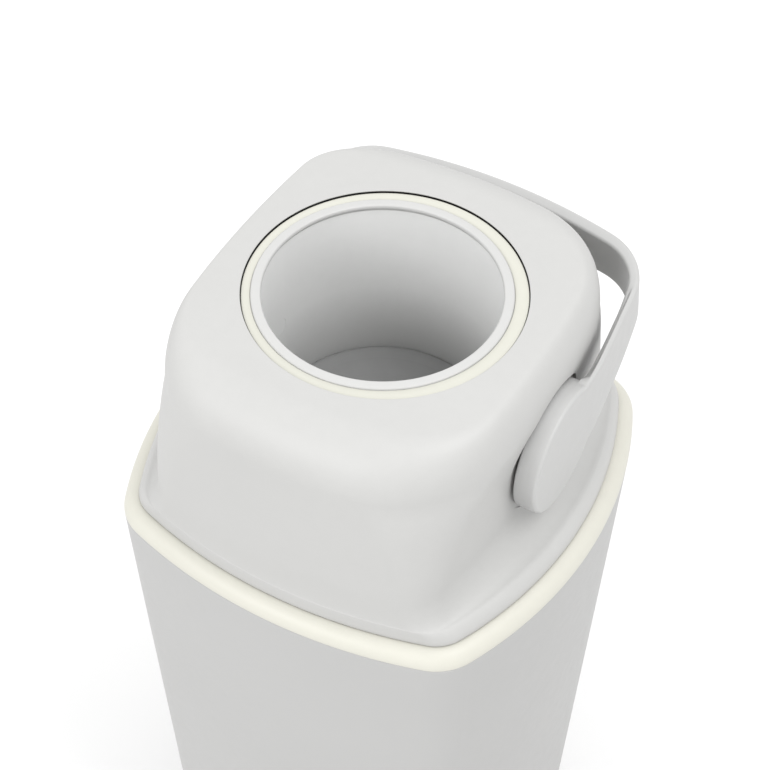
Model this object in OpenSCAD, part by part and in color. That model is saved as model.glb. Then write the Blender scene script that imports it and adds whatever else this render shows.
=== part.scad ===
// Flip-handle nappy bin: a tapered tub with a snapped-on collar, a hinged head,
// and a tube with a sliding piston that turns over with the carrying handle.
// Millimetres, +Z up. X is the handle's pivot axis, the front of the bin faces -Y.
// The origin is the middle of the footprint, on the surface the bin stands on.

/* [Tub] */
// Height of the tub's rim above the floor
tub_h = 457.2; // [380:0.2:520]
// Half width of the tub at its rim
tub_a = 140; // [135:0.5:145]
// Half depth of the tub at its rim
tub_b = 138.4; // [134:0.2:143]
// Bow radius of the left and right sides at the rim
bow_s = 250; // [220:5:400]
// Bow radius of the front and back sides at the rim
bow_f = 322.7; // [280:0.1:450]
// Corner radius at the rim
corner_r = 33.7; // [28:0.1:40]
// Inward slope of each wall, mm per mm of height
taper = 0.046; // [0.03:0.002:0.06]
// Thickness of the tub's walls
tub_wall = 2.8; // [2.2:0.1:3.5]

/* [Collar] */
// Height of the collar's outer band
band_h = 9.8; // [8:0.2:12]
// How far the head stands in from the band's outer face
band_in = 9.6; // [9:0.1:10]

/* [Head] */
// Height of the head's top face above the collar
head_h = 134; // [132.5:0.1:135]
// Half width of the head's left wall at the shoulder
wall_x = 100.9; // [100:0.1:101.2]
// Half width of the head's right wall at the shoulder
wall_r = 107.3; // [106:0.1:107.8]
// Outward slope of the left wall from the shoulder down to the ledge
wall_draft = 1.1; // [0.6:0.1:1.3]
// Half depth of the head where the top shoulder starts
wall_y = 123; // [122:0.1:124]
// Height above the collar at which the top shoulder starts
shoulder_z = 102.5; // [100:0.5:106]
// Depth of the top shoulder on the front
shoulder_y = 30.7; // [26:0.1:34]
// Depth of the top shoulder on the back
shoulder_b = 28; // [22:0.1:31]
// Depth of the top shoulder on the left side
shoulder_x = 6; // [5:0.5:10]
// Thickness of the head's shell
shell_t = 2.6; // [2.2:0.1:3]
// Radius of the round hole in the head's top
hole_r = 80.4; // [80.2:0.1:80.8]

/* [Turning tube] */
// Height of the pivot axis above the collar
pivot_z = 66; // [65:0.5:67]
// Bore radius of the tube
tube_r = 69; // [68:0.1:69.5]
// Radius of the mouth
mouth_r = 67.3; // [66:0.1:67.8]
// Outer radius of the coloured trim rings
trim_r = 79.6; // [79:0.1:79.8]
// Sideways offset of the tube inside its trim rings
tube_x = -1.6; // [-2:0.1:0]
// Radius of the pivot journals
journal_r = 10; // [8:0.5:12]

/* [Handle] */
// Rise of the handle above the horizontal at rest, degrees
rise = 10; // [6:1:12]
// Reach of the handle from the pivot axis to the outside of the grip
reach = 144.2; // [142:0.1:144.6]
// Half width over the handle's bowed arms
handle_a = 115.6; // [115:0.1:116]
// Sideways offset of the handle's middle from the head's
handle_x = 3; // [2.5:0.1:3.2]
// Width of the grip
strap_w = 34; // [30:1:36]
// Thickness of the arms
arm_t = 6; // [5:0.5:6]
// Thickness of the grip
grip_t = 8.3; // [7:0.1:8.5]
// Radius of the round bosses
boss_r = 39; // [36:0.5:40]

/* [Hidden] */
$fn = 96;
zb = tub_h + band_h;          // top line of the collar
zp = zb + pivot_z;            // pivot axis
sweep_r = 105;                // inside radius of the curved housing round the tube
hy = 133.2;                   // hinge axis, distance behind the middle
hz = zb + 3.4;                // hinge axis height
grey = [0.80, 0.80, 0.79];
cream = [0.90, 0.89, 0.80];

// ---- outlines -------------------------------------------------------------
// Meeting point of the circles that carry the corner arc's centre.
function corner_c(a, b, rs, rf, rc) =
    let (c1 = [a - rs, 0], c2 = [0, b - rf], r1 = rs - rc, r2 = rf - rc,
         d = c2 - c1, l = norm(d), m = (r1*r1 - r2*r2 + l*l)/(2*l),
         h = sqrt(max(r1*r1 - m*m, 0)), p = c1 + d*m/l, n = [-d.y, d.x]/l,
         q = p + n*h)
    (q.x > 0 && q.y > 0) ? q : p - n*h;
function arc(c, r, t0, t1, n) = [for (i = [0:n-1]) c + r*[cos(t0 + (t1-t0)*i/n), sin(t0 + (t1-t0)*i/n)]];
// One quarter of a rounded square with bowed sides, from (a, 0) towards (0, b).
function quarter(a, b, rs, rf, rc, n1 = 4, n2 = 7, n3 = 5) =
    let (q = corner_c(a, b, rs, rf, rc),
         t1 = atan2(q.y, q.x - a + rs), t2 = atan2(q.y - b + rf, q.x))
    concat(arc([a - rs, 0], rs, 0, t1, n1), arc(q, rc, t1, t2, n2), arc([0, b - rf], rf, t2, 90, n3));
function full(q, b) =
    let (m = len(q))
    concat(q, [[0, b]], [for (i = [m-1:-1:1]) [-q[i].x, q[i].y]],
           [for (p = q) -p], [[0, -b]], [for (i = [m-1:-1:1]) [q[i].x, -q[i].y]]);
function outline(a, b, rs, rf, rc) = full(quarter(a, b, rs, rf, rc), b);
// Four quarters joined: q right front, l left front, r right back, k left back, reaching b in front and c behind.
function around(q, l, r, k, b, c) =
    let (m = len(q))
    concat(r, [[0, c]], [for (i = [m-1:-1:1]) [-k[i].x, k[i].y]],
           [for (p = l) -p], [[0, -b]], [for (i = [m-1:-1:1]) [q[i].x, -q[i].y]]);
function blend(p, q, s) = [for (i = [0:len(p)-1]) p[i]*(1-s) + q[i]*s];
function lift(p, z) = [for (v = p) [v.x, v.y, z]];

// Closed solid through a stack of outlines, lowest first.
module loft(rings) {
    n = len(rings[0]);
    k = len(rings);
    polyhedron(points = [for (r = rings) for (p = r) p],
        faces = concat(
            [[for (i = [0:n-1]) i]],
            [[for (i = [n-1:-1:0]) (k-1)*n + i]],
            [for (j = [0:k-2]) for (i = [0:n-1]) [j*n + i, (j+1)*n + i, (j+1)*n + (i+1)%n]],
            [for (j = [0:k-2]) for (i = [0:n-1]) [j*n + i, (j+1)*n + (i+1)%n, j*n + (i+1)%n]]),
        convexity = 10);
}
module plate(p, z0, z1) { translate([0, 0, z0]) linear_extrude(z1 - z0) polygon(p); }
module xcyl(r, x0, x1) { translate([x0, 0, 0]) rotate([0, 90, 0]) cylinder(r = r, h = x1 - x0); }
module xcone(r0, r1, x0, x1) { translate([x0, 0, 0]) rotate([0, 90, 0]) cylinder(r1 = r0, r2 = r1, h = x1 - x0); }

// ---- tub and collar -------------------------------------------------------
// Outline of the rim, moved in by d.
function rim(d) = outline(tub_a - d, tub_b - d, bow_s - d, bow_f - d, corner_r - d);
// Outline of the tub's wall, d in from its outer face at height z.
function wall(z, d) =
    let (o = taper*(tub_h - z) + d)
    outline(tub_a - o, tub_b - o, bow_s - o, bow_f - o, corner_r - 0.35*(o - d) - d);

module bin_tub() color(grey) {
    base_a = tub_a - taper*tub_h;
    difference() {
        loft(concat([for (t = [0, 30, 60]) lift(wall(2 + 7*(1 - cos(t)), 7*(1 - sin(t))), 2 + 7*(1 - cos(t)))],
                    [lift(wall(9, 0), 9), lift(wall(tub_h, 0), tub_h)]));
        loft([lift(wall(5.2, 9), 5.2), lift(wall(6.6, 5.2), 6.6), lift(wall(10, tub_wall), 10),
              lift(wall(tub_h + 1, tub_wall), tub_h + 1)]);
        for (x = [-1, 1], y = [-1, 1]) translate([x*86, y*85, 1.9]) cylinder(r = 13.2, h = 1.7);
    }
}

module foot_pads() color([0.45, 0.45, 0.45])
    for (x = [-1, 1], y = [-1, 1]) translate([x*86, y*85, 0]) {
        cylinder(r1 = 12, r2 = 13, h = 1);
        translate([0, 0, 1]) cylinder(r = 13, h = 2.5);
    }

module rim_collar() color(cream)
    difference() {
        union() {
            loft([for (t = [0:18:90]) lift(rim(band_in*(1 - cos(t))), tub_h + band_h*sin(t))]);
            difference() {
                plate(rim(3.8), tub_h - 14, tub_h + 0.01);
                plate(rim(6.2), tub_h - 15, tub_h + 1);
            }
            difference() {
                plate(rim(18), zb - 1, zb + 5);
                plate(rim(20.4), zb - 2, zb + 6);
            }
            translate([-31, 121.5, tub_h - 8]) cube([62, 11.6, 10]);
        }
        difference() {
            plate(rim(6.2), tub_h - 15, zb - 2.6);
            translate([-31, 121.5, tub_h - 8]) cube([62, 20, 20]);
        }
        plate(rim(22), tub_h - 1, zb + 1);
        translate([-31, 125.8, zb - 6]) cube([62, 20, 12]);
        for (x = [-7, 7]) translate([x, 129.4, zb - 16]) cylinder(r = 1.75, h = 20);
    }

module hinge_bracket() color(cream) {
    difference() {
        translate([-30.7, 126.1, zb - 6]) cube([61.4, 8.2, 2.8]);
        for (x = [-7, 7]) translate([x, 129.4, zb - 8]) cylinder(r = 2.1, h = 8);
    }
    for (s = [-1, 1]) difference() {
        union() {
            translate([0, hy, hz]) xcyl(3.6, s < 0 ? -30 : 14.6, s < 0 ? -14.6 : 30);
            translate([s < 0 ? -30 : 14.6, 130.6, zb - 3.2]) cube([15.4, 5.2, 6.6]);
        }
        translate([0, hy, hz]) xcyl(1.5, s < 0 ? -32 : 14, s < 0 ? -14 : 32);
    }
}

module bracket_screws() color([0.7, 0.7, 0.7])
    for (x = [-7, 7]) translate([x, 129.4, 0]) {
        translate([0, 0, zb - 14]) cylinder(r = 1.7, h = 10.8);
        translate([0, 0, zb - 3.2]) cylinder(r1 = 3.1, r2 = 2.4, h = 1.6);
    }

// ---- head -----------------------------------------------------------------
// Depth of the front and back faces at height z above the collar.
function face_y(z) = tub_b - band_in - (tub_b - band_in - wall_y)*z/shoulder_z;
// Foot outline, with its bowed sides at half width a.
function foot(a, z, d) = outline(a - d, face_y(z) - d, bow_s - band_in - d, bow_f - band_in - d, corner_r - band_in - d);
// Corner radius of the block above the ledge, from r0 at the ledge through r1 half way up to r2 at the shoulder.
function rise_t(z) = (min(z, shoulder_z) - 33)/(shoulder_z - 33);
function corner_at(z, r0, r1, r2) = let (t = rise_t(z)) r0*(1-t)*(1-2*t) + 4*r1*t*(1-t) + r2*t*(2*t-1);
// Half widths at height z; the right wall swells towards its shoulder.
function left_x(z) = wall_x + wall_draft*(1 - rise_t(z));
function right_x(z) = let (w = max(0, min(1, (z - 50)/52.5))) 102.8 + (wall_r - 102.8)*w*w;
function block(z, d) =
    let (a = right_x(z) - d, l = left_x(z) - d, b = face_y(z) - d, c = corner_at(z, 26, 35.1, 60.7))
    around(quarter(a, b, 518 - d, 320.6 - d, c + 1.7*(a - l) - d), quarter(l, b, 470 - d, 320.6 - d, c - d),
           quarter(a, b, 518 - d, 316.9 - d, corner_at(z, 29.7, 45, 78.9) - d), quarter(l, b, 470 - d, 316.9 - d, corner_at(z, 28.4, 30.3, 66.6) - d), b, b);
// Outline of the shoulder, o = 0 at its foot and 1 at the top face.
function shoulder(o, d) =
    let (a = wall_r - d - (wall_r - 95)*o, l = wall_x - d - shoulder_x*o, ra = 518 + 192*o - d, rl = 470 + 240*o - d,
         b = wall_y - d - shoulder_y*o, c = wall_y - d - shoulder_b*o, rb = 320.6 - 22*o - d, rc = 316.9 + 60*o - d)
    around(quarter(a, b, ra, rb, 71.6 - 23.5*o - d), quarter(l, b, rl, rb, 60.7 - 12.6*o - d),
           quarter(a, c, ra, rc, 78.9 - 33.9*o - d), quarter(l, c, rl, rc, 66.6 - 40.6*o - d), b, c);
// Share of the way from the foot's edge to the side wall, up the hollow ledge.
function ledge_s(z, r) = sqrt(max(0, 1 - pow((33 - z)/r, 2)));
foot_a = tub_a - band_in;
ledge_a = 124.5;

function head_rings(d) =
    let (rv = 22.5 + d, z0 = 33 - rv, sh = head_h - shoulder_z)
    concat(
        [lift(foot(foot_a, 0, d), d > 0 ? 0 : 0.8)],
        [lift(foot(foot_a - 0.3, 3, d), 3 - d*0.3)],
        [lift(foot(foot_a - 1.7, 6, d), 6 - d*0.6)],
        [lift(foot(foot_a - 3.8, 8.5, d), 8.5 - d*0.9)],
        [for (z = [z0, z0 + 0.35, z0 + 1.6, z0 + 4.2, z0 + 9, z0 + 15]) let (s = ledge_s(z, rv))
            lift(blend(foot(ledge_a, z, d > 0 ? d*(1-s)*0 + d*s : 0), block(max(z, 33) , d), s), z)],
        [for (z = [33, 50, 67, 85, shoulder_z]) lift(block(z, d), z)],
        [for (t = [18:18:90]) lift(shoulder(1 - cos(t), d), shoulder_z + (sh - d)*sin(t))]);

module head_void() {
    difference() {
        loft(head_rings(shell_t));
        for (x = [-1, 1], y = [-1, 1]) translate([x*91.2, y*76, 12.2]) cylinder(r = 4, h = 48);
        translate([0, 0, pivot_z]) for (s = [0, 180]) rotate([0, 0, s]) xcyl(19.6, 88.4, 100.4);
        // floor of the pocket round the right boss
        translate([0, 0, pivot_z]) xcyl(44.4, 99.2, 125);
        // stop for the turning tube: half a ring on the front side of the right pivot
        translate([0, 0, pivot_z]) intersection() {
            difference() { xcyl(29, 91, 100); xcyl(24.5, 90, 101); }
            translate([80, -44.3, -40]) cube([40, 40, 80]);
        }
    }
}

module head_shell() color(grey) translate([0, 0, zb]) {
    difference() {
        loft(head_rings(0));
        head_void();
        translate([0, 0, head_h - shell_t - 0.5]) cylinder(r1 = 82.6, r2 = hole_r, h = shell_t - 0.2);
        translate([0, 0, head_h - 1]) cylinder(r = hole_r, h = 3);
        translate([0, 0, pivot_z]) xcyl(15.05, -110, 110);
        translate([0, 0, pivot_z]) xcyl(41.8, 101.8, 130);
        for (x = [-1, 1], y = [-1, 1]) translate([x*91.2, y*76, 8]) cylinder(r = 2, h = 40);
        for (x = [-8.5, 8.5]) translate([x, 118, 16.5]) rotate([-90, 0, 0]) cylinder(r = 1.6, h = 12);
    }
}

module head_chassis() color([0.72, 0.73, 0.74]) translate([0, 0, zb]) {
    difference() {
        union() {
            plate(outline(108, 122.8, 300, 312, 34), 9.2, 11.8);
            intersection() {
                translate([0, 0, pivot_z]) xcyl(107.4, -88.6, 88.6);
                plate(outline(88.6, 107.6, 1500, 400, 36), 9, 112);
            }
        }
        intersection() {
            translate([0, 0, pivot_z]) xcyl(sweep_r, -86.6, 86.6);
            plate(outline(86.6, 105.4, 1498, 398, 34), 0, 140);
        }
        translate([0, 0, pivot_z]) xcyl(31, -100, 100);
        for (x = [-1, 1], y = [-1, 1]) translate([x*91.2, y*76, 0]) cylinder(r = 2.2, h = 20);
        for (x = [-8, 8]) translate([x, -108.5, 0]) cylinder(r = 1.6, h = 20);
    }
}

module chassis_screws() color([0.7, 0.7, 0.7])
    for (x = [-1, 1], y = [-1, 1]) translate([x*91.2, y*76, zb]) {
        translate([0, 0, 7]) cylinder(r1 = 3.2, r2 = 4, h = 2.2);
        translate([0, 0, 9.2]) cylinder(r = 1.95, h = 20);
    }

module head_gasket() color([0.35, 0.35, 0.36])
    difference() {
        plate(rim(band_in + shell_t + 1.6), zb + 0.4, zb + 4.0);
        plate(rim(band_in + shell_t + 4.4), zb, zb + 5);
    }

module hinge_leaf() color(grey)
    difference() {
        union() {
            translate([-14, 0, zb]) rotate([90, 0, 90]) linear_extrude(28)
                polygon([[128.85, 1.6], [127.5, 23.4], [129.2, 23.4], [131, 6], [131, 1.6]]);
            translate([0, hy, hz]) xcyl(3.6, -14, 14);
            translate([-14, 129.5, hz - 1.6]) cube([28, 3.4, 4.6]);
        }
        translate([0, hy, hz]) xcyl(1.55, -15, 15);
        for (x = [-8.5, 8.5]) translate([x, 126, zb + 16.5]) rotate([-90, 0, 0]) cylinder(r = 2, h = 8);
    }

module leaf_screws() color([0.7, 0.7, 0.7])
    for (x = [-8.5, 8.5]) translate([x, 0, zb + 16.5]) rotate([-90, 0, 0]) {
        translate([0, 0, 120.5]) cylinder(r = 1.55, h = 10.4);
        translate([0, 0, 130.9]) cylinder(r1 = 3.2, r2 = 2.6, h = 1.4);
    }

module hinge_pin() color([0.75, 0.75, 0.76]) translate([0, hy, hz]) xcyl(1.5, -30, 30);

module front_tongue() color([0.72, 0.73, 0.74]) translate([0, 0, zb])
    difference() {
        union() {
            translate([-13, -115.2, -9]) cube([26, 2.2, 18.2]);
            translate([-13, -115.2, 6.8]) cube([26, 12, 2.4]);
            for (x = [-13, 11.6]) translate([x, -113.5, -6]) cube([1.4, 8, 14]);
        }
        for (x = [-8, 8]) translate([x, -108.5, 0]) cylinder(r = 2, h = 20);
    }

module tongue_screws() color([0.7, 0.7, 0.7])
    for (x = [-8, 8]) translate([x, -108.5, zb]) {
        translate([0, 0, 5.2]) cylinder(r1 = 2.6, r2 = 3.2, h = 1.6);
        translate([0, 0, 6.8]) cylinder(r = 1.55, h = 5);
    }

module bush() {
    difference() {
        union() {
            xcyl(15, 87.5, 101.85);
            xcyl(19, 101.85, 103.1);
        }
        xcyl(journal_r + 0.05, 80, 110);
    }
}
module pivot_bush_right() color([0.85, 0.85, 0.83]) translate([0, 0, zp]) bush();
module pivot_bush_left() color([0.85, 0.85, 0.83]) translate([0, 0, zp]) mirror([1, 0, 0]) bush();

// ---- turning tube ---------------------------------------------------------
module drum()
    difference() {
        union() {
            translate([tube_x, 0, -62.4]) cylinder(r = tube_r + 2.5, h = 124.8);
            for (s = [-61, 58.6]) translate([0, 0, s]) cylinder(r = 78.6, h = 2.4);
            for (s = [0, 180]) rotate([0, 0, s]) {
                xcyl(24, 60, 83);
                for (t = [45:90:315]) rotate([t, 0, 0]) translate([68, -1.2, 20]) cube([13, 2.4, 12]);
            }
            // lug that meets the head's stop ring
            translate([78, -4, -28.5]) cube([15.4, 8, 8]);
        }
        translate([tube_x, 0, -70]) cylinder(r = tube_r, h = 140);
        for (s = [0, 180]) rotate([0, 0, s]) {
            xcyl(5.6, 60, 75.4);
            xcyl(2.75, 60, 90);
            translate([77, -6.55, -6.55]) cube([10, 13.1, 13.1]);
        }
    }
module drum_half_upper() color([0.78, 0.78, 0.78]) translate([0, 0, zp])
    intersection() { drum(); translate([-100, -100, 0]) cube([200, 200, 80]); }
module drum_half_lower() color([0.78, 0.78, 0.78]) translate([0, 0, zp])
    intersection() { drum(); translate([-100, -100, -80]) cube([200, 200, 80]); }

module mouth_ring() {
    translate([tube_x, 0, 0]) rotate_extrude()
        polygon([[mouth_r, 65.2], [mouth_r + 0.5, 66.1], [mouth_r + 1.5, 66.8], [mouth_r + 3, 67.15], [mouth_r + 4.4, 67.2],
                 [73, 66.9], [73.4, 66.2], [73.4, 61.1], [71.6, 61.1], [71.6, 62.5], [tube_r + 0.3, 62.5], [mouth_r, 63.4]]);
}
module mouth_ring_upper() color([0.83, 0.83, 0.82]) translate([0, 0, zp]) mouth_ring();
module mouth_ring_lower() color([0.83, 0.83, 0.82]) translate([0, 0, zp]) rotate([180, 0, 0]) mouth_ring();

module trim_ring()
    difference() {
        rotate_extrude()
            polygon([[70, 61.1], [trim_r, 61.1], [trim_r, 66.1], [trim_r - 0.5, 66.5], [76, 66.3], [70, 65.6]]);
        translate([tube_x, 0, 60]) cylinder(r = 73.7, h = 10);
    }
module trim_ring_upper() color(cream) translate([0, 0, zp]) trim_ring();
module trim_ring_lower() color(cream) translate([0, 0, zp]) rotate([180, 0, 0]) trim_ring();

module flange_seals() color([0.35, 0.35, 0.36]) translate([0, 0, zp])
    for (s = [0, 180]) rotate([s, 0, 0]) difference() {
        translate([0, 0, 58.8]) cylinder(r = 80.3, h = 2);
        translate([0, 0, 58]) cylinder(r = 78.65, h = 4);
    }

module trunnion() {
    difference() {
        union() {
            translate([77.1, -6.5, -6.5]) cube([5.9, 13, 13]);
            xcyl(18, 83, 86);
            xcyl(journal_r, 86, 103.6);
            translate([103.6, -6.5, -6.5]) cube([3, 13, 13]);
        }
        xcyl(2.75, 70, 120);
    }
}
module trunnion_right() color([0.6, 0.6, 0.62]) translate([0, 0, zp]) trunnion();
module trunnion_left() color([0.6, 0.6, 0.62]) translate([0, 0, zp]) mirror([1, 0, 0]) trunnion();

// ---- handle ---------------------------------------------------------------
// Half of a bowed outline, on the handle's side of the pivot axis.
function strap(a, b, rs, rf, rc) = [for (p = full(quarter(a, b, rs, rf, rc, 8, 14, 9), b)) if (p.y >= -0.001) p];

// Half widths of the handle seen from the side: the boss, the arm and the grip, above and below the middle line.
boss_edge = [[0, boss_r], [14, 0.933*boss_r], [22, 0.826*boss_r]];
upper_edge = concat(boss_edge, [[28, 28.7], [36, 27.4], [46, 26.4], [60, 25.4], [80, 24], [98, 20.6], [116, strap_w/2], [160, strap_w/2]]);
lower_edge = concat(boss_edge, [[28, 28.5], [36, 26.6], [46, 24.2], [60, 22.2], [80, 20.6], [98, 18.2], [112, strap_w/2], [160, strap_w/2]]);

module flip_handle() color([0.79, 0.79, 0.79]) translate([0, 0, zp]) rotate([rise, 0, 0]) {
    face = handle_a - 1.3;
    difference() {
        union() {
            intersection() {
                translate([handle_x, 0, -45]) linear_extrude(90) difference() {
                    intersection() {
                        polygon(strap(handle_a, reach, 657, 381, 39.4));
                        translate([-face, -1]) square([2*face, 160]);
                    }
                    polygon(concat(strap(handle_a - arm_t, reach - grip_t, 651, 373, 33), [[-80, -1], [80, -1]]));
                }
                rotate([90, 0, 90]) translate([0, 0, -130]) linear_extrude(260)
                    polygon(concat(upper_edge, [for (i = [len(lower_edge)-1:-1:0]) [lower_edge[i].x, -lower_edge[i].y]]));
            }
            for (s = [0, 1]) mirror([s, 0, 0]) let (f = face + (s == 0 ? handle_x : -handle_x)) {
                xcyl(boss_r, 103.8, f - 1.4);
                xcone(boss_r, boss_r - 1.2, f - 1.4, f);
            }
        }
        for (s = [0, 1]) mirror([s, 0, 0]) {
            rotate([-rise, 0, 0]) translate([100, -6.55, -6.55]) cube([6.7, 13.1, 13.1]);
            xcyl(2.55, 100, 110);
        }
    }
}

module handle_screws() color([0.7, 0.7, 0.7]) translate([0, 0, zp])
    for (s = [0, 180]) rotate([0, 0, s]) {
        xcyl(5, 72.4, 75.4);
        xcyl(2.5, 75.4, 109.7);
    }

module screw_plugs() color([0.78, 0.78, 0.78]) translate([0, 0, zp])
    difference() {
        for (s = [0, 180]) rotate([0, 0, s]) xcyl(5.5, 60, 72.2);
        translate([tube_x, 0, -20]) cylinder(r = tube_r + 0.05, h = 40);
    }

// ---- piston ---------------------------------------------------------------
pz = zp - 62.3;   // underside of the piston at rest
module piston_shell() color([0.62, 0.63, 0.64]) translate([tube_x, 0, pz])
    rotate_extrude() polygon([[0, 2.2], [56, 2.2], [56, 0.2], [64, 0.2], [68.4, 0.6], [68.9, 1.2], [68.9, 3.6], [67.2, 3.6], [67.2, 6.4], [68.9, 6.4],
        [68.9, 8.6], [68.2, 9.3], [66.5, 9.4], [60, 8.4], [48, 7.4], [30, 6.7], [0, 6.4]]);
module piston_weight() color([0.5, 0.5, 0.52]) translate([tube_x, 0, pz + 0.6])
    difference() { cylinder(r = 55.5, h = 1.6); translate([0, 0, -1]) cylinder(r = 12, h = 4); }
module piston_seal() color([0.35, 0.35, 0.36]) translate([tube_x, 0, pz])
    rotate_extrude() polygon([[67.25, 3.65], [68.9, 3.65], [68.95, 4.4], [68.95, 5.6], [68.9, 6.35], [67.25, 6.35]]);

bin_tub();
foot_pads();
rim_collar();
hinge_bracket();
bracket_screws();
head_shell();
head_chassis();
chassis_screws();
head_gasket();
hinge_leaf();
leaf_screws();
hinge_pin();
front_tongue();
tongue_screws();
pivot_bush_left();
pivot_bush_right();
drum_half_upper();
drum_half_lower();
mouth_ring_upper();
mouth_ring_lower();
trim_ring_upper();
trim_ring_lower();
flange_seals();
trunnion_left();
trunnion_right();
flip_handle();
handle_screws();
screw_plugs();
piston_shell();
piston_weight();
piston_seal();
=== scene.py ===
import math

import bmesh
import bpy
import numpy as np
from mathutils import Matrix, Vector


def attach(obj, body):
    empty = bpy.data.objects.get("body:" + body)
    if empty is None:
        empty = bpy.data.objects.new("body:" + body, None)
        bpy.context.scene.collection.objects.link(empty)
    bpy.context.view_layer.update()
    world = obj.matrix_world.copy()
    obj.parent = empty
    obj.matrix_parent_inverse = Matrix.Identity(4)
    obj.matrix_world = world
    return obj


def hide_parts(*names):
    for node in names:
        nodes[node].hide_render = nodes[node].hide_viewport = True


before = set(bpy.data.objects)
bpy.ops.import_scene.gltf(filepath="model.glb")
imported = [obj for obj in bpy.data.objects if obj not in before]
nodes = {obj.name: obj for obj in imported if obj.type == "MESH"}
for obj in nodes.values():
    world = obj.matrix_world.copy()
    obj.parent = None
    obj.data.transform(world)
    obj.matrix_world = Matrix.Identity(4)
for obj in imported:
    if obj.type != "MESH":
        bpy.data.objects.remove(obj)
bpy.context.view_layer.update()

scene = bpy.context.scene

MM = 0.001
TUB_H, BAND_H, BAND_IN = 457.2, 9.8, 9.6
ZB = TUB_H + BAND_H
ZP = ZB + 66.0
TUBE_X = -1.6


# ---------------------------------------------------------------- camera
# Placed at the photograph's viewpoint.
def put_camera():
    data = bpy.data.cameras.new("camera")
    cam = bpy.data.objects.new("camera", data)
    scene.collection.objects.link(cam)
    e, az, roll = math.radians(48.355), math.radians(29.42), math.radians(-0.528)
    fw = Vector((-math.sin(az) * math.cos(e), math.cos(az) * math.cos(e), -math.sin(e)))
    rt = Vector((math.cos(az), math.sin(az), 0))
    dn = fw.cross(rt)
    right = math.cos(roll) * rt + math.sin(roll) * dn
    down = -math.sin(roll) * rt + math.cos(roll) * dn
    m = Matrix((right, -down, -fw)).transposed().to_4x4()
    m.translation = Vector((0.38906, -0.68909, 0.94459 + ZB * MM))
    cam.matrix_world = m
    data.sensor_width = 36
    data.lens = 2045.7 * 36 / 770
    data.clip_start, data.clip_end = 0.02, 50
    scene.camera = cam


# ---------------------------------------------------------------- materials
def ramp(nt, lo, hi, c0, c1, fac):
    n = nt.nodes.new("ShaderNodeValToRGB")
    n.color_ramp.elements[0].position, n.color_ramp.elements[1].position = lo, hi
    n.color_ramp.elements[0].color = (*c0, 1)
    n.color_ramp.elements[1].color = (*c1, 1)
    nt.links.new(fac, n.inputs[0])
    return n.outputs[0]


def noise(nt, coord, scale, detail=3, rough=0.5):
    n = nt.nodes.new("ShaderNodeTexNoise")
    n.inputs["Scale"].default_value = scale
    n.inputs["Detail"].default_value = detail
    n.inputs["Roughness"].default_value = rough
    nt.links.new(coord, n.inputs["Vector"])
    return n.outputs["Fac"]


def moulded(name, base, rough=0.42, vary=0.012, grain=1500, bump=0.05, spec=0.42, sss=0.0, fade=None):
    """Moulded plastic: a fine spark-eroded grain, faint flow in the colour, and slightly uneven gloss.
    With fade = (z0, z1, f) the colour darkens from z1 down to f times itself at z0, a painted shade."""
    m = bpy.data.materials.new(name)
    m.use_nodes = True
    nt = m.node_tree
    b = nt.nodes["Principled BSDF"]
    tc = nt.nodes.new("ShaderNodeTexCoord").outputs["Object"]
    big = noise(nt, tc, 9, 4, 0.55)
    mid = noise(nt, tc, 140, 4, 0.6)
    fine = noise(nt, tc, grain, 2, 0.6)
    c0 = tuple(max(0, c * (1 - vary)) for c in base)
    c1 = tuple(min(1, c * (1 + vary)) for c in base)
    flow = ramp(nt, 0.32, 0.68, c0, c1, big)
    speck = ramp(nt, 0.30, 0.62, (1 - 2.2 * vary,) * 3, (1, 1, 1), mid)
    mix = nt.nodes.new("ShaderNodeMix")
    mix.data_type, mix.blend_type = "RGBA", "MULTIPLY"
    mix.inputs[0].default_value = 0.6
    nt.links.new(flow, mix.inputs[6])
    nt.links.new(speck, mix.inputs[7])
    colour = mix.outputs[2]
    # painted shade: the base colour is scaled darker towards the bottom in object z
    if fade:
        sep = nt.nodes.new("ShaderNodeSeparateXYZ")
        nt.links.new(tc, sep.inputs[0])
        g = nt.nodes.new("ShaderNodeMapRange")
        g.inputs["From Min"].default_value, g.inputs["From Max"].default_value = fade[0], fade[1]
        g.inputs["To Min"].default_value, g.inputs["To Max"].default_value = fade[2], 1.0
        nt.links.new(sep.outputs[2], g.inputs["Value"])
        dim = nt.nodes.new("ShaderNodeVectorMath")
        dim.operation = "SCALE"
        nt.links.new(colour, dim.inputs[0])
        nt.links.new(g.outputs[0], dim.inputs[3])
        colour = dim.outputs[0]
    nt.links.new(colour, b.inputs["Base Color"])
    r = nt.nodes.new("ShaderNodeMapRange")
    r.inputs["From Min"].default_value, r.inputs["From Max"].default_value = 0.3, 0.7
    r.inputs["To Min"].default_value, r.inputs["To Max"].default_value = rough - 0.04, rough + 0.05
    nt.links.new(mid, r.inputs["Value"])
    nt.links.new(r.outputs[0], b.inputs["Roughness"])
    bp = nt.nodes.new("ShaderNodeBump")
    bp.inputs["Strength"].default_value = bump
    bp.inputs["Distance"].default_value = 0.00012
    nt.links.new(fine, bp.inputs["Height"])
    nt.links.new(bp.outputs[0], b.inputs["Normal"])
    b.inputs["Specular IOR Level"].default_value = spec
    if sss:
        b.inputs["Subsurface Weight"].default_value = sss
        b.inputs["Subsurface Radius"].default_value = (0.004, 0.0035, 0.003)
        b.inputs["Subsurface Scale"].default_value = 1.0
    return m


def rubber(name, base, rough=0.75):
    m = moulded(name, base, rough, vary=0.08, grain=900, bump=0.25, spec=0.3)
    return m


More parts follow.
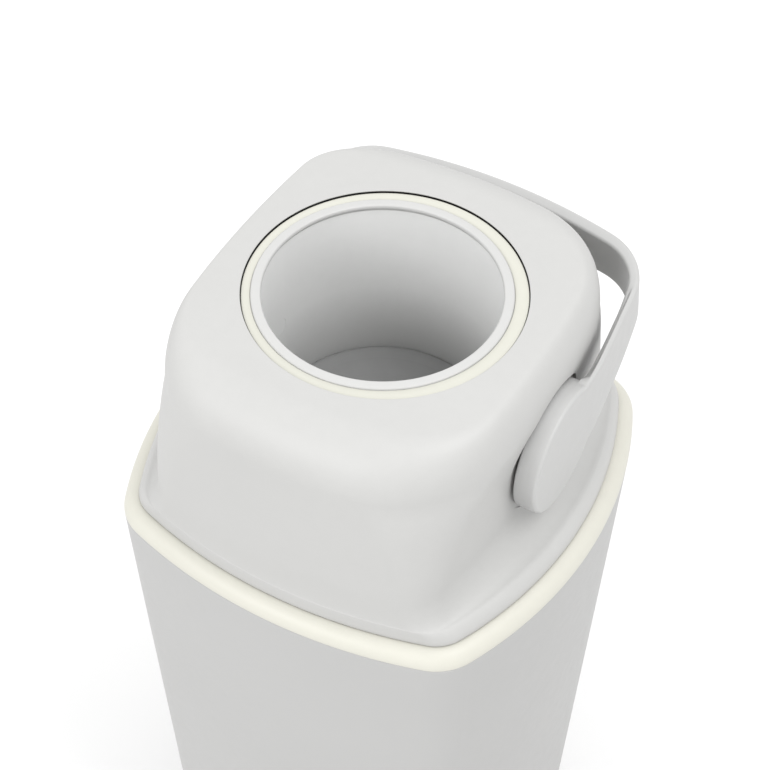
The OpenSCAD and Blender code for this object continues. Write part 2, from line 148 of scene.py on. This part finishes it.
def metal(name, base, rough=0.3, stretch=(1, 1, 12)):
    m = bpy.data.materials.new(name)
    m.use_nodes = True
    nt = m.node_tree
    b = nt.nodes["Principled BSDF"]
    tc = nt.nodes.new("ShaderNodeTexCoord").outputs["Object"]
    mp = nt.nodes.new("ShaderNodeMapping")
    mp.inputs["Scale"].default_value = stretch
    nt.links.new(tc, mp.inputs["Vector"])
    f = noise(nt, mp.outputs[0], 700, 4, 0.6)
    g = noise(nt, tc, 60, 3, 0.5)
    nt.links.new(ramp(nt, 0.3, 0.7, tuple(c * 0.82 for c in base), base, g), b.inputs["Base Color"])
    r = nt.nodes.new("ShaderNodeMapRange")
    r.inputs["To Min"].default_value, r.inputs["To Max"].default_value = rough - 0.08, rough + 0.14
    nt.links.new(f, r.inputs["Value"])
    nt.links.new(r.outputs[0], b.inputs["Roughness"])
    bp = nt.nodes.new("ShaderNodeBump")
    bp.inputs["Strength"].default_value = 0.12
    bp.inputs["Distance"].default_value = 0.0001
    nt.links.new(f, bp.inputs["Height"])
    nt.links.new(bp.outputs[0], b.inputs["Normal"])
    b.inputs["Metallic"].default_value = 1.0
    return m


SHELL = moulded("shell_grey", (0.425, 0.424, 0.416), rough=0.48)
HANDLE = moulded("handle_grey", (0.420, 0.420, 0.415), rough=0.44)
CREAM = moulded("collar_cream", (0.524, 0.516, 0.460), rough=0.42)
TUBE = moulded("tube_grey", (0.69, 0.692, 0.685), rough=0.52)
# painted shade: the lower drum half darkens from its top down to 0.60 at its bottom, for the shade deep inside the
# tube
low_z = [v.co.z for v in nodes["drum_half_lower"].data.vertices]
TUBE_LOW_SHADED = moulded("tube_grey_low_painted_shade", (0.69, 0.692, 0.685), rough=0.52, fade=(min(low_z), max(low_z), 0.60))
# painted shade: the tub takes the shell's plastic about a tenth darker, for the dimmer light low on the bin
TUB = moulded("tub_grey", (0.384, 0.383, 0.378), rough=0.48)
LIP = moulded("lip_grey", (0.452, 0.452, 0.445), rough=0.42)
TRIM = moulded("trim_cream", (0.500, 0.497, 0.443), rough=0.42)
# painted shade: the piston's grey is darkened to stand in for the shade at the bottom of the tube
PISTON_SHADED = moulded("piston_grey", (0.262, 0.263, 0.262), rough=0.55, vary=0.03, grain=900, bump=0.12)
INNER = moulded("inner_grey", (0.44, 0.45, 0.455), rough=0.55, vary=0.03, grain=900, bump=0.12)
BUSH = moulded("bush_white", (0.74, 0.74, 0.72), rough=0.35)
RUBBER = rubber("soft_rubber", (0.060, 0.060, 0.064))
SEAL = rubber("seal_grey", (0.30, 0.30, 0.30))
PAD = rubber("pad_rubber", (0.10, 0.10, 0.105))
STEEL = metal("fastener_steel", (0.62, 0.62, 0.61))
IRON = metal("weight_steel", (0.30, 0.30, 0.31), 0.5)


# ---------------------------------------------------------------- mesh tools
def corner_centre(a, b, rs, rf, rc):
    c1, c2 = np.array([a - rs, 0.0]), np.array([0.0, b - rf])
    r1, r2 = rs - rc, rf - rc
    d = c2 - c1
    l = np.hypot(*d)
    m = (r1 * r1 - r2 * r2 + l * l) / (2 * l)
    h = math.sqrt(max(r1 * r1 - m * m, 0))
    p, n = c1 + d * m / l, np.array([-d[1], d[0]]) / l
    q = p + n * h
    return q if q[0] > 0 and q[1] > 0 else p - n * h


def arc(c, r, t0, t1, n):
    t = t0 + (t1 - t0) * np.arange(n) / n
    return np.c_[c[0] + r * np.cos(t), c[1] + r * np.sin(t)]


def quarter(a, b, rs, rf, rc, n=(26, 36, 30)):
    q = corner_centre(a, b, rs, rf, rc)
    t1 = math.atan2(q[1], q[0] - a + rs)
    t2 = math.atan2(q[1] - b + rf, q[0])
    return np.concatenate([
        arc((a - rs, 0), rs, 0, t1, n[0]),
        arc(q, rc, t1, t2, n[1]),
        arc((0, b - rf), rf, t2, math.pi / 2, n[2]),
    ])


def outline(a, b, rs, rf, rc, n=(26, 36, 30)):
    """A rounded square with bowed sides, anticlockwise from (a, 0)."""
    q = quarter(a, b, rs, rf, rc, n)
    return around(q, q, q, q, b, b)


def around(rf, lf, rb, lb, b, c):
    """An outline from its right front, left front, right back and left back quarters, reaching b in front and c behind."""
    top = np.concatenate([rb, [[0, c]], (lb[1:] * [-1, 1])[::-1]])
    low = np.concatenate([-lf, [[0, -b]], (rf[1:] * [1, -1])[::-1]])
    return np.concatenate([top, low])


def lift(p, z):
    return np.c_[p, np.full(len(p), float(z))]


def loft(rings, closed=False, cap_low=False, cap_high=False):
    """Vertices and faces of a skin through rings of equal length, lowest first, seen from outside."""
    n, k = len(rings[0]), len(rings)
    v = np.concatenate(rings)
    f = []
    for j in range(k if closed else k - 1):
        a, b = j * n, ((j + 1) % k) * n
        for i in range(n):
            i2 = (i + 1) % n
            f.append((a + i, a + i2, b + i2, b + i))
    if cap_low:
        f.append(tuple(range(n - 1, -1, -1)))
    if cap_high:
        f.append(tuple((k - 1) * n + i for i in range(n)))
    return v, f


def make(name, v, f, mat, body, sharp=None, flip=False):
    me = bpy.data.meshes.new(name)
    me.from_pydata([tuple(p) for p in np.asarray(v) * MM], [], f)
    me.validate()
    bm = bmesh.new()
    bm.from_mesh(me)
    bmesh.ops.recalc_face_normals(bm, faces=bm.faces)
    bm.to_mesh(me)
    bm.free()
    me.polygons.foreach_set("use_smooth", [True] * len(me.polygons))
    if sharp:
        me.set_sharp_from_angle(angle=math.radians(sharp))
    o = bpy.data.objects.new(name, me)
    scene.collection.objects.link(o)
    me.materials.append(mat)
    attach(o, body)
    return o


def lathe(profile, n=288, centre=(0, 0), z=0.0, down=False):
    """A closed ring turned from (radius, height) points."""
    t = 2 * math.pi * np.arange(n) / n
    s = -1 if down else 1
    rings = [np.c_[centre[0] + r * np.cos(t), centre[1] + r * np.sin(t), np.full(n, z + s * h)] for r, h in profile]
    return loft(rings, closed=True)


def fillet(points, radii, steps=6):
    """A closed polygon of (r, z) points with each corner rounded by its radius."""
    out = []
    n = len(points)
    for i in range(n):
        p0, p, p1 = (np.array(points[(i + k) % n], float) for k in (-1, 0, 1))
        r = radii[i]
        if r <= 0:
            out.append(tuple(p))
            continue
        a, b = (p0 - p) / np.linalg.norm(p0 - p), (p1 - p) / np.linalg.norm(p1 - p)
        half = math.acos(np.clip(a @ b, -1, 1)) / 2
        if half > math.pi / 2 - 0.02:
            out.append(tuple(p))
            continue
        t = min(r / math.tan(half), 0.49 * np.linalg.norm(p0 - p), 0.49 * np.linalg.norm(p1 - p))
        r = t * math.tan(half)
        c = p + (a + b) / np.linalg.norm(a + b) * (r / math.sin(half))
        s, e = p + a * t - c, p + b * t - c
        ang = math.atan2(s[0] * e[1] - s[1] * e[0], s @ e)
        for k in range(steps + 1):
            w = ang * k / steps
            out.append(tuple(c + np.array([s[0] * math.cos(w) - s[1] * math.sin(w), s[0] * math.sin(w) + s[1] * math.cos(w)])))
    return out


def cutter(name, v, f):
    me = bpy.data.meshes.new(name)
    me.from_pydata([tuple(p) for p in np.asarray(v) * MM], [], f)
    bm = bmesh.new()
    bm.from_mesh(me)
    bmesh.ops.recalc_face_normals(bm, faces=bm.faces)
    bm.to_mesh(me)
    bm.free()
    o = bpy.data.objects.new(name, me)
    scene.collection.objects.link(o)
    return o


def boolean(o, other, op, sharp=35):
    m = o.modifiers.new("cut", "BOOLEAN")
    m.operation, m.object, m.solver = op, other, "EXACT"
    deps = bpy.context.evaluated_depsgraph_get()
    me = bpy.data.meshes.new_from_object(o.evaluated_get(deps))
    o.modifiers.clear()
    old = o.data
    mats = [s for s in old.materials]
    o.data = me
    me.materials.clear()
    for s in mats:
        me.materials.append(s)
    me.polygons.foreach_set("material_index", [0] * len(me.polygons))
    me.polygons.foreach_set("use_smooth", [True] * len(me.polygons))
    me.set_sharp_from_angle(angle=math.radians(sharp))
    bpy.data.meshes.remove(old)
    bpy.data.objects.remove(other)


def xrod(r, x0, x1, y=0.0, z=0.0, n=96):
    t = 2 * math.pi * np.arange(n) / n
    ring = lambda x: np.c_[np.full(n, x), y + r * np.cos(t), z + r * np.sin(t)]
    return loft([ring(x0), ring(x1)], cap_low=True, cap_high=True)


def rod(r, z0, z1, x=0.0, y=0.0, n=64):
    t = 2 * math.pi * np.arange(n) / n
    ring = lambda z: np.c_[x + r * np.cos(t), y + r * np.sin(t), np.full(n, z)]
    return loft([ring(z0), ring(z1)], cap_low=True, cap_high=True)


# ---------------------------------------------------------------- tub
TAPER = 0.046


def rim(d):
    return outline(140 - d, 138.4 - d, 250 - d, 322.7 - d, 33.7 - d)


def tub_ring(z, d):
    o = TAPER * (TUB_H - z) + d
    return lift(outline(140 - o, 138.4 - o, 250 - o, 322.7 - o, 33.7 - 0.35 * (o - d) - d), z)


def build_tub():
    t = 2.8
    low = [tub_ring(2 + 7 * (1 - math.cos(a)), 7 * (1 - math.sin(a))) for a in np.radians(np.arange(0, 91, 10))]
    walls = [tub_ring(z, 0) for z in (9.6, 30, 90, 180, 270, 360, 430, 455.4)]
    top = [tub_ring(TUB_H - 0.7, 0.05), tub_ring(TUB_H - 0.25, 0.25), tub_ring(TUB_H - 0.05, 0.6), tub_ring(TUB_H - 0.05, t - 0.5), tub_ring(TUB_H - 0.4, t)]
    inner = [tub_ring(z, t) for z in (430, 300, 150, 30, 13)]
    floor = [tub_ring(5.2 + 5.8 * (1 - math.sin(a)), t + 5.8 * (1 - math.cos(a))) for a in np.radians(np.arange(10, 91, 16))]
    floor += [tub_ring(5.2, 11)]
    under = [tub_ring(2, 14), tub_ring(2, 8)]
    rings = low + walls + top + inner + floor
    v, f = loft(rings)
    n = len(rings[0])
    v = list(v)
    # floor and underside: rings drawn in to a centre point
    for first, z, up in ((0, 2.0, False), (len(rings) - 1, 5.2, True)):
        prev = first * n
        base = np.array(v[prev:prev + n])
        for s in (0.96, 0.7, 0.4, 0.15):
            start = len(v)
            v += [np.array([p[0] * s, p[1] * s, z]) for p in base]
            for i in range(n):
                i2 = (i + 1) % n
                f.append((prev + i, prev + i2, start + i2, start + i))
            prev = start
        v.append(np.array([0, 0, z]))
        c = len(v) - 1
        for i in range(n):
            f.append((prev + i, prev + (i + 1) % n, c))
    o = make("tub", v, f, TUB, "bin", sharp=50)
    for x in (-86, 86):
        for y in (-85, 85):
            cv, cf = rod(13.2, 0.5, 3.6, x, y)
            boolean(o, cutter("pocket", cv, cf), "DIFFERENCE", 50)
    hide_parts("bin_tub")


# ---------------------------------------------------------------- collar
def build_collar():
    rings = []
    # outside: a small lower edge, then the large rounded shoulder, then the flat that the head stands over
    rings.append(lift(rim(3.9), TUB_H - 13.6))
    rings.append(lift(rim(3.8), TUB_H - 1.0))
    rings.append(lift(rim(3.8), TUB_H + 0.02))
    rings.append(lift(rim(0.55), TUB_H + 0.02))
    rings.append(lift(rim(0.16), TUB_H + 0.18))
    rings.append(lift(rim(0.0), TUB_H + 0.6))
    for a in np.radians(np.arange(8, 91, 4.1)):
        rings.append(lift(rim(BAND_IN * (1 - math.cos(a))), TUB_H + BAND_H * math.sin(a)))
    rings += [lift(rim(BAND_IN), ZB), lift(rim(BAND_IN + 0.6), ZB), lift(rim(17.6), ZB), lift(rim(18.0), ZB + 0.02), lift(rim(18.0), ZB + 4.4),
              lift(rim(18.5), ZB + 5), lift(rim(19.9), ZB + 5), lift(rim(20.4), ZB + 4.4), lift(rim(20.4), ZB + 0.02), lift(rim(21.6), ZB),
              lift(rim(22), ZB - 0.4), lift(rim(22), ZB - 2.6), lift(rim(6.8), ZB - 2.6), lift(rim(6.2), ZB - 3.2), lift(rim(6.2), TUB_H - 13.6), lift(rim(5.6), TUB_H - 14), lift(rim(4.3), TUB_H - 14)]
    v, f = loft(rings, closed=True)
    o = make("collar", v, f, CREAM, "bin", sharp=42)

    def block(x0, x1, y0, y1, z0, z1, name="block"):
        c = [(x, y, z) for z in (z0, z1) for x, y in ((x0, y0), (x1, y0), (x1, y1), (x0, y1))]
        return cutter(name, c, [(3, 2, 1, 0), (4, 5, 6, 7), (0, 1, 5, 4), (1, 2, 6, 5), (2, 3, 7, 6), (3, 0, 4, 7)])
    boolean(o, block(-31, 31, 121.5, 133.1, TUB_H - 8, ZB - 1.3), "UNION", 42)
    boolean(o, block(-31, 31, 125.8, 150, ZB - 6, ZB + 8), "DIFFERENCE", 42)
    for x in (-7, 7):
        cv, cf = rod(1.75, ZB - 13, ZB, x, 129.4, 32)
        boolean(o, cutter("hole", cv, cf), "DIFFERENCE", 42)
    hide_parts("rim_collar")


# ---------------------------------------------------------------- head
HEAD_H, WALL_X, WALL_Y, SH_Z, SH_Y, SH_X, T = 134.0, 100.9, 123.0, 102.5, 30.7, 6.0, 2.6
WALL_DRAFT, WALL_R, SH_B = 1.1, 107.3, 28.0
FOOT_A, LEDGE_A = 140 - BAND_IN, 124.5


def face_y(z):
    return 138.4 - BAND_IN - (138.4 - BAND_IN - WALL_Y) * z / SH_Z


def foot(a, z, d):
    return outline(a - d, face_y(z) - d, 250 - BAND_IN - d, 322.7 - BAND_IN - d, 33.7 - BAND_IN - d)


def rise_t(z):
    return (min(z, SH_Z) - 33) / (SH_Z - 33)


def corner_at(z, r0, r1, r2):
    t = rise_t(z)
    return r0 * (1 - t) * (1 - 2 * t) + 4 * r1 * t * (1 - t) + r2 * t * (2 * t - 1)


def block_ring(z, d):
    l, b = WALL_X + WALL_DRAFT * (1 - rise_t(z)) - d, face_y(z) - d
    a = 102.8 + (WALL_R - 102.8) * min(max((z - 50) / 52.5, 0), 1) ** 2 - d
    c = corner_at(z, 26, 35.1, 60.7)
    return around(quarter(a, b, 518 - d, 320.6 - d, c + 1.7 * (a - l) - d), quarter(l, b, 470 - d, 320.6 - d, c - d),
                  quarter(a, b, 518 - d, 316.9 - d, corner_at(z, 29.7, 45, 78.9) - d),
                  quarter(l, b, 470 - d, 316.9 - d, corner_at(z, 28.4, 30.3, 66.6) - d), b, b)


def shoulder_ring(t, d):
    o = 1 - math.cos(t)
    a, l, ra, rl = WALL_R - d - (WALL_R - 95) * o, WALL_X - d - SH_X * o, 518 + 192 * o - d, 470 + 240 * o - d
    b, c, rb, rc = WALL_Y - d - SH_Y * o, WALL_Y - d - SH_B * o, 320.6 - 22 * o - d, 316.9 + 60 * o - d
    ring = around(quarter(a, b, ra, rb, 71.6 - 23.5 * o - d), quarter(l, b, rl, rb, 60.7 - 12.6 * o - d),
                  quarter(a, c, ra, rc, 78.9 - 33.9 * o - d), quarter(l, c, rl, rc, 66.6 - 40.6 * o - d), b, c)
    return lift(ring, SH_Z + (HEAD_H - SH_Z - d) * math.sin(t))


def head_side(d, fine=True):
    """Rings up the head's side, d in from its outer face, from the foot to the edge of the top."""
    rv = 22.5 + d
    z0 = 33 - rv
    rings = []
    if d == 0:
        rings += [lift(foot(FOOT_A, 0.8, 0.5), 0.8), lift(foot(FOOT_A, 0.8, 0.12), 0.95), lift(foot(FOOT_A, 0.8, 0.0), 1.4)]
    else:
        rings += [lift(foot(FOOT_A, 0.8, d), 1.0)]
    prof = [(FOOT_A - 0.25, 3.0), (FOOT_A - 0.9, 5.0), (FOOT_A - 2.0, 7.0), (FOOT_A - 3.5, 8.9), (LEDGE_A + 0.7, 10.0)]
    for a, z in prof:
        z = z - 0.9 * d
        rings.append(lift(foot(a, z, d), z))
    steps = np.concatenate([[0.0, 0.012], (1 - np.cos(np.linspace(0.12, math.pi / 2, 17)))])
    for k, w in enumerate(np.linspace(0, 1, 20)):
        # equal steps of angle along the hollow ledge
        ang = math.radians(2 + 88 * w)
        z = 33 - rv * math.cos(ang)
        s = math.sin(ang)
        if w == 0:
            z, s = z0 + 0.25 * (z - z0), s * 0.35
        dd = d * s
        a = foot(LEDGE_A, z, dd if d else 0)
        b = block_ring(33, d) if z < 33 else block_ring(z, d)
        rings.append(lift(a * (1 - s) + b * s, z))
    for z in np.linspace(33, SH_Z, 10)[1:]:
        rings.append(lift(block_ring(z, d), z))
    for t in np.radians(np.linspace(0, 90, 19))[1:]:
        rings.append(shoulder_ring(t, d))
    return rings


def circle_like(ring, r, z):
    """A circle with one point for each point of ring, at the same bearing."""
    t = np.arctan2(ring[:, 1], ring[:, 0])
    return np.c_[r * np.cos(t), r * np.sin(t), np.full(len(t), float(z))]


def build_head():
    outer, inner = head_side(0), head_side(T)
    top, roof = outer[-1], inner[-1]
    mid = []
    edge = circle_like(top, 82.4, HEAD_H)
    for s in (0.06, 0.3, 0.6, 0.85, 1.0):
        mid.append(top * (1 - s) + edge * s)
    lip = [circle_like(top, 81.0, HEAD_H)]
    for a in np.radians((15, 35, 55, 75, 90)):
        lip.append(circle_like(top, 80.8 - 0.4 * math.sin(a), HEAD_H - 0.4 * (1 - math.cos(a))))
    lip += [circle_like(top, 80.4, HEAD_H - 0.70), circle_like(top, 80.5, HEAD_H - 0.85), circle_like(top, 82.6, HEAD_H - T)]
    under = [circle_like(roof, 83.2, HEAD_H - T)]
    for s in (0.3, 0.7, 0.94):
        under.append(under[0] * (1 - s) + roof * s)
    rings = outer + mid + lip + under + inner[::-1]
    v, f = loft(rings, closed=True)
    o = make("head", v, f, SHELL, "head", sharp=48)
    # bosses for the pivots, posts for the chassis and the stop ring are joined on from inside
    def add(v, f):
        boolean(o, cutter("add", v, f), "UNION", 48)
    n = 96
    t = 2 * math.pi * np.arange(n) / n
    for s in (1, -1):
        ring = lambda r, x: np.c_[np.full(n, s * x), r * np.cos(t), 66 + r * np.sin(t)]
        prof = [(19.0, 88.4), (19.6, 89.0), (19.6, 100.2), (15.05, 100.2), (15.05, 88.7), (15.35, 88.4)]
        add(*loft([ring(r, x) for r, x in prof], closed=True))
    m = 48
    u = 2 * math.pi * np.arange(m) / m
    for x in (-91.2, 91.2):
        for y in (-76, 76):
            ring = lambda r, z: np.c_[x + r * np.cos(u), y + r * np.sin(u), np.full(m, z)]
            prof = [(2.0, 47.0), (2.0, 12.6), (2.3, 12.2), (3.7, 12.2), (4.0, 12.5), (4.0, 60.2)]
            add(*loft([ring(r, z) for r, z in prof], cap_low=True, cap_high=True))
    # pocket round the right boss: its floor is thickened from inside, then sunk from outside
    pad = cutter("pad", *xrod(44.4, 99.2, 125, 0, 66, 128))
    skin = head_side(0.9)
    boolean(pad, cutter("skin", *loft(skin, cap_low=True, cap_high=True)), "INTERSECT", 48)
    boolean(o, pad, "UNION", 48)
    boolean(o, cutter("pocket", *xrod(41.8, 101.8, 130, 0, 66, 160)), "DIFFERENCE", 48)
    a = np.radians(np.linspace(99, 261, 60))
    arch = lambda x, r0, r1: np.c_[np.full(120, x), np.r_[r0 * np.cos(a), (r1 * np.cos(a))[::-1]], 66 + np.r_[r0 * np.sin(a), (r1 * np.sin(a))[::-1]]]
    add(*loft([arch(91.0, 24.8, 28.7), arch(91.3, 24.5, 29.0), arch(100.0, 24.5, 29.0)], cap_low=True, cap_high=True))
    for x0, x1 in ((87, 112), (-112, -87)):
        boolean(o, cutter("bore", *xrod(15.05, x0, x1, 0, 66)), "DIFFERENCE", 48)
    for p in o.data.vertices:
        p.co.z += ZB * MM
    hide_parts("head_shell")
    return o


# ---------------------------------------------------------------- handle
RISE = math.radians(10)
HA, REACH, BOSS_R, HALF_W, ARM_T, GRIP_T = 115.6, 144.2, 39.0, 17.0, 6.0, 8.3
FACE_X, HANDLE_X = 114.3, 3.0


def handle_path():
    """Points (u, x) along the outside of the right half of the handle, from the pivot to the middle of the grip."""
    pts = [(u, FACE_X) for u in np.arange(-44, 10.8, 2.0)]
    for u in np.arange(10.8, 60, 1.5):
        w = min(max((u - 15) / 32, 0), 1)
        w = w * w * (3 - 2 * w)
        pts.append((u, (1 - w) * (FACE_X - (u - 10.8) ** 2 / 1066) + w * (HA - 657 + math.sqrt(657 ** 2 - u * u))))
    q = quarter(HA, REACH, 657, 381, 39.4, (120, 120, 160))
    for x, y in q:
        if y >= 60:
            pts.append((y, x))
    pts.append((REACH, 0.0))
    p = np.array(pts)
    return p


def resample(p, step):
    d = np.r_[0, np.cumsum(np.linalg.norm(np.diff(p, axis=0), axis=1))]
    s = np.linspace(0, d[-1], int(d[-1] / step) + 1)
    return np.c_[np.interp(s, d, p[:, 0]), np.interp(s, d, p[:, 1])], s


class Path:
    def __init__(self):
        half = handle_path()
        full = np.concatenate([half, (half * [1, -1])[::-1][1:]])
        p, s = resample(full, 0.5)
        for _ in range(12):
            p[1:-1] = (p[:-2] + 2 * p[1:-1] + p[2:]) / 4
        s = np.r_[0, np.cumsum(np.linalg.norm(np.diff(p, axis=0), axis=1))]
        self.s = s - 44.0  # 0 at the right pivot
        self.end = self.s[-1] - 44.0
        self.p = p
        t = np.gradient(p, axis=0)
        t /= np.linalg.norm(t, axis=1)[:, None]
        self.n = np.c_[-t[:, 1], t[:, 0]]  # outward: +x at the right pivot, +u at the grip
        if self.n[0, 1] < 0:
            self.n = -self.n

    def at(self, s, v, depth):
        """Row-frame points (mm) for arrays s along, v across, depth in from the outer face."""
        pu, px = np.interp(s, self.s, self.p[:, 0]), np.interp(s, self.s, self.p[:, 1])
        nu, nx = np.interp(s, self.s, self.n[:, 0]), np.interp(s, self.s, self.n[:, 1])
        u, x = pu - nu * depth, px - nx * depth
        return np.c_[x + HANDLE_X, u * math.cos(RISE) - v * math.sin(RISE), ZP + u * math.sin(RISE) + v * math.cos(RISE)]


def build_handle():
    path = Path()
    end = path.end
    half = end / 2
    # edges of the right half, from the boss's far point to the middle: boss, tapering arm, grip
    leave = 26.4
    a1 = math.acos(leave / BOSS_R)
    top_v = BOSS_R * math.sin(a1)

    def edge(knots, widths):
        pts = [(BOSS_R * math.cos(a), BOSS_R * math.sin(a)) for a in np.linspace(math.pi, a1, 72)]
        run = np.linspace(leave, half, 200)
        width = np.interp(run, [leave] + knots, [top_v] + widths)
        for _ in range(10):
            width[1:-1] = (width[:-2] + 2 * width[1:-1] + width[2:]) / 4
        pts = np.array(pts + list(zip(run[1:], width[1:])))
        whole = np.concatenate([pts, np.c_[end - pts[:-1, 0], pts[:-1, 1]][::-1]])
        whole[0, 1] = whole[-1, 1] = 0.0
        return whole
    upper = edge([29, 36, 46, 60, 80, 98, 116], [28.6, 27.4, 26.4, 25.4, 24.0, 20.6, HALF_W])
    lower = (edge([29, 36, 46, 60, 80, 98, 112], [28.4, 26.6, 24.2, 22.2, 20.6, 18.2, HALF_W])[1:-1] * [1, -1])[::-1]
    loop = np.concatenate([upper, lower])
    m = len(upper)
    total = len(loop)
    prev, nxt = np.roll(loop, 1, axis=0), np.roll(loop, -1, axis=0)
    tan = nxt - prev
    tan /= np.linalg.norm(tan, axis=1)[:, None]
    out = np.c_[-tan[:, 1], tan[:, 0]]
    if (out[0] @ np.array([-1.0, 0])) < 0:
        out = -out
    # how far a point is from the bosses, 0 on them and 1 along the arms
    def along(s):
        e = np.minimum(s, end - s)
        return np.clip((e - 30) / 30, 0, 1)
    def smooth(x):
        return x * x * (3 - 2 * x)
    def thick(s):
        e = np.minimum(s, end - s)
        return ARM_T + (GRIP_T - ARM_T) * smooth(np.clip((e - 95) / 70, 0, 1))
    arm = smooth(along(loop[:, 0]))
    ro = 2.0 + 0.6 * arm
    ri = 0.05 + 1.9 * arm
    rings = []

    def ring(inset, depth):
        q = loop - out * inset[:, None]
        return path.at(q[:, 0], q[:, 1], depth)
    th = thick(loop[:, 0])
    # the arms' upper edge slopes down towards the head
    far = np.minimum(loop[:, 0], end - loop[:, 0])
    slope = 5.0 * smooth(np.clip((far - 27.5) / 10, 0, 1)) * (1 - smooth(np.clip((far - 84) / 30, 0, 1))) * (np.arange(total) < m)
    one = np.ones(total)
    rings.append(ring(ro + 0.5, 0 * one))
    for a in np.radians(np.arange(0, 91, 11.25)):
        rings.append(ring(ro * (1 - math.sin(a)), ro * (1 - math.cos(a))))
    for a in np.radians(np.arange(0, 91, 15)):
        rings.append(ring(ri * (1 - math.cos(a)) + slope, th - ri * (1 - math.sin(a))))
    rings.append(ring(ri + slope + 0.4, th))
    v, f = loft(rings)
    k = len(rings)
    for first, sign in ((0, 1), ((k - 1) * total, -1)):
        up = [first + i for i in range(m)]
        low = [first] + [first + total - i for i in range(1, m - 1)] + [first + m - 1]
        for i in range(m - 1):
            q = [up[i], up[i + 1], low[i + 1], low[i]]
            q = list(dict.fromkeys(q))
            f.append(tuple(q if sign > 0 else q[::-1]))
    o = make("handle", v, f, HANDLE, "rotor", sharp=40)
    # the thick round part of each boss, behind its face
    n = 160
    t = 2 * math.pi * np.arange(n) / n
    for s in (1, -1):
        ring = lambda r, x: np.c_[np.full(n, s * x), r * np.cos(t), ZP + r * np.sin(t)]
        end_x = FACE_X + s * HANDLE_X - 5.1
        prof = [(30.0, 103.8), (38.0, 103.8), (38.55, 103.95), (38.87, 104.35), (38.97, 104.9), (38.97, end_x), (30.0, end_x)]
        rings = [ring(r, x) for r, x in prof]
        v, f = loft(rings, cap_low=True, cap_high=True)
        boolean(o, cutter("boss", v, f), "UNION", 40)
    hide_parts("flip_handle")


# ---------------------------------------------------------------- rings of the tube
def build_rings():
    lip = fillet([(68.85, 62.5), (67.35, 65.2), (67.7, 67.3), (73.45, 67.15), (73.45, 61.1), (71.6, 61.1), (71.6, 62.5)],
                 [0.05, 1.6, 1.8, 1.1, 0.2, 0.2, 0.1], 8)
    for which, down in (("upper", False), ("lower", True)):
        v, f = lathe(lip, centre=(TUBE_X, 0), z=ZP, down=down)
        o = make("mouth_ring_%s_skin" % which, v, f, LIP, "rotor", sharp=50)
        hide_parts("mouth_ring_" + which)
        # trim ring: round outside, its inside set over with the tube
        n = 288
        t = 2 * math.pi * np.arange(n) / n
        s = -1 if down else 1
        def circ(r, h, cx):
            return np.c_[cx + r * np.cos(t), r * np.sin(t), np.full(n, ZP + s * h)]
        prof = [(73.62, 61.1, TUBE_X), (79.6, 61.1, 0), (80.0, 61.4, 0), (80.0, 65.7, 0)]
        for a in np.radians(np.arange(12, 91, 13)):
            prof.append((79.4 + 0.6 * math.cos(a), 65.9 + 0.6 * math.sin(a), 0))
        prof += [(79.0, 66.5, 0), (73.9, 66.1, TUBE_X), (73.62, 65.95, TUBE_X)]
        v, f = loft([circ(*p) for p in prof], closed=True)
        o = make("trim_ring_%s_skin" % which, v, f, TRIM, "rotor", sharp=50)
        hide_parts("trim_ring_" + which)


def dress(name, mat):
    o = nodes[name]
    o.data.materials.clear()
    o.data.materials.append(mat)


put_camera()
build_tub()
build_collar()
build_head()
build_handle()
build_rings()
for n, m in {
    "foot_pads": PAD, "hinge_bracket": CREAM, "bracket_screws": STEEL, "hinge_pin": STEEL,
    "head_chassis": INNER, "chassis_screws": STEEL, "head_gasket": RUBBER, "hinge_leaf": SHELL, "leaf_screws": STEEL,
    "front_tongue": INNER, "tongue_screws": STEEL, "pivot_bush_left": BUSH, "pivot_bush_right": BUSH,
    "drum_half_upper": TUBE, "drum_half_lower": TUBE_LOW_SHADED, "flange_seals": SEAL, "trunnion_left": INNER, "trunnion_right": INNER,
    "handle_screws": STEEL, "screw_plugs": TUBE, "piston_shell": PISTON_SHADED, "piston_weight": IRON, "piston_seal": SEAL,
}.items():
    dress(n, m)


# ---------------------------------------------------------------- floor and light
def floor():
    me = bpy.data.meshes.new("floor")
    s = 6.0
    me.from_pydata([(-s, -s, 0), (s, -s, 0), (s, s, 0), (-s, s, 0)], [], [(0, 1, 2, 3)])
    o = bpy.data.objects.new("floor", me)
    scene.collection.objects.link(o)
    m = bpy.data.materials.new("floor_white")
    m.use_nodes = True
    nt = m.node_tree
    b = nt.nodes["Principled BSDF"]
    tc = nt.nodes.new("ShaderNodeTexCoord").outputs["Object"]
    nt.links.new(ramp(nt, 0.3, 0.7, (0.73, 0.73, 0.73), (0.75, 0.75, 0.75), noise(nt, tc, 3, 3)), b.inputs["Base Color"])
    b.inputs["Roughness"].default_value = 0.9
    b.inputs["Specular IOR Level"].default_value = 0.1
    me.materials.append(m)


def area(name, loc, target, size, power, colour=(1, 1, 1)):
    d = bpy.data.lights.new(name, "AREA")
    d.shape, d.size, d.energy, d.color = "DISK", size, power, colour
    o = bpy.data.objects.new(name, d)
    scene.collection.objects.link(o)
    o.location = loc
    o.rotation_mode = "QUATERNION"
    o.rotation_quaternion = (Vector(target) - Vector(loc)).to_track_quat("-Z", "Y")
    return o


floor()
world = bpy.data.worlds.new("studio")
scene.world = world
world.use_nodes = True
bg = world.node_tree.nodes["Background"]
bg.inputs[0].default_value = (1, 1, 1, 1)
bg.inputs[1].default_value = 1.25
area("key", (-0.8, -2.5, 2.1), (0, 0, 0.45), 1.8, 33)
area("top", (0.3, 0.6, 3.0), (0, 0, 0.5), 2.4, 6)
area("fill", (1.35, -0.1, 2.8), (0, 0, 0.5), 1.4, 24)
scene.view_settings.view_transform = "Standard"
scene.view_settings.look = "None"
scene.view_settings.exposure = 0.0
scene.view_settings.gamma = 1.0
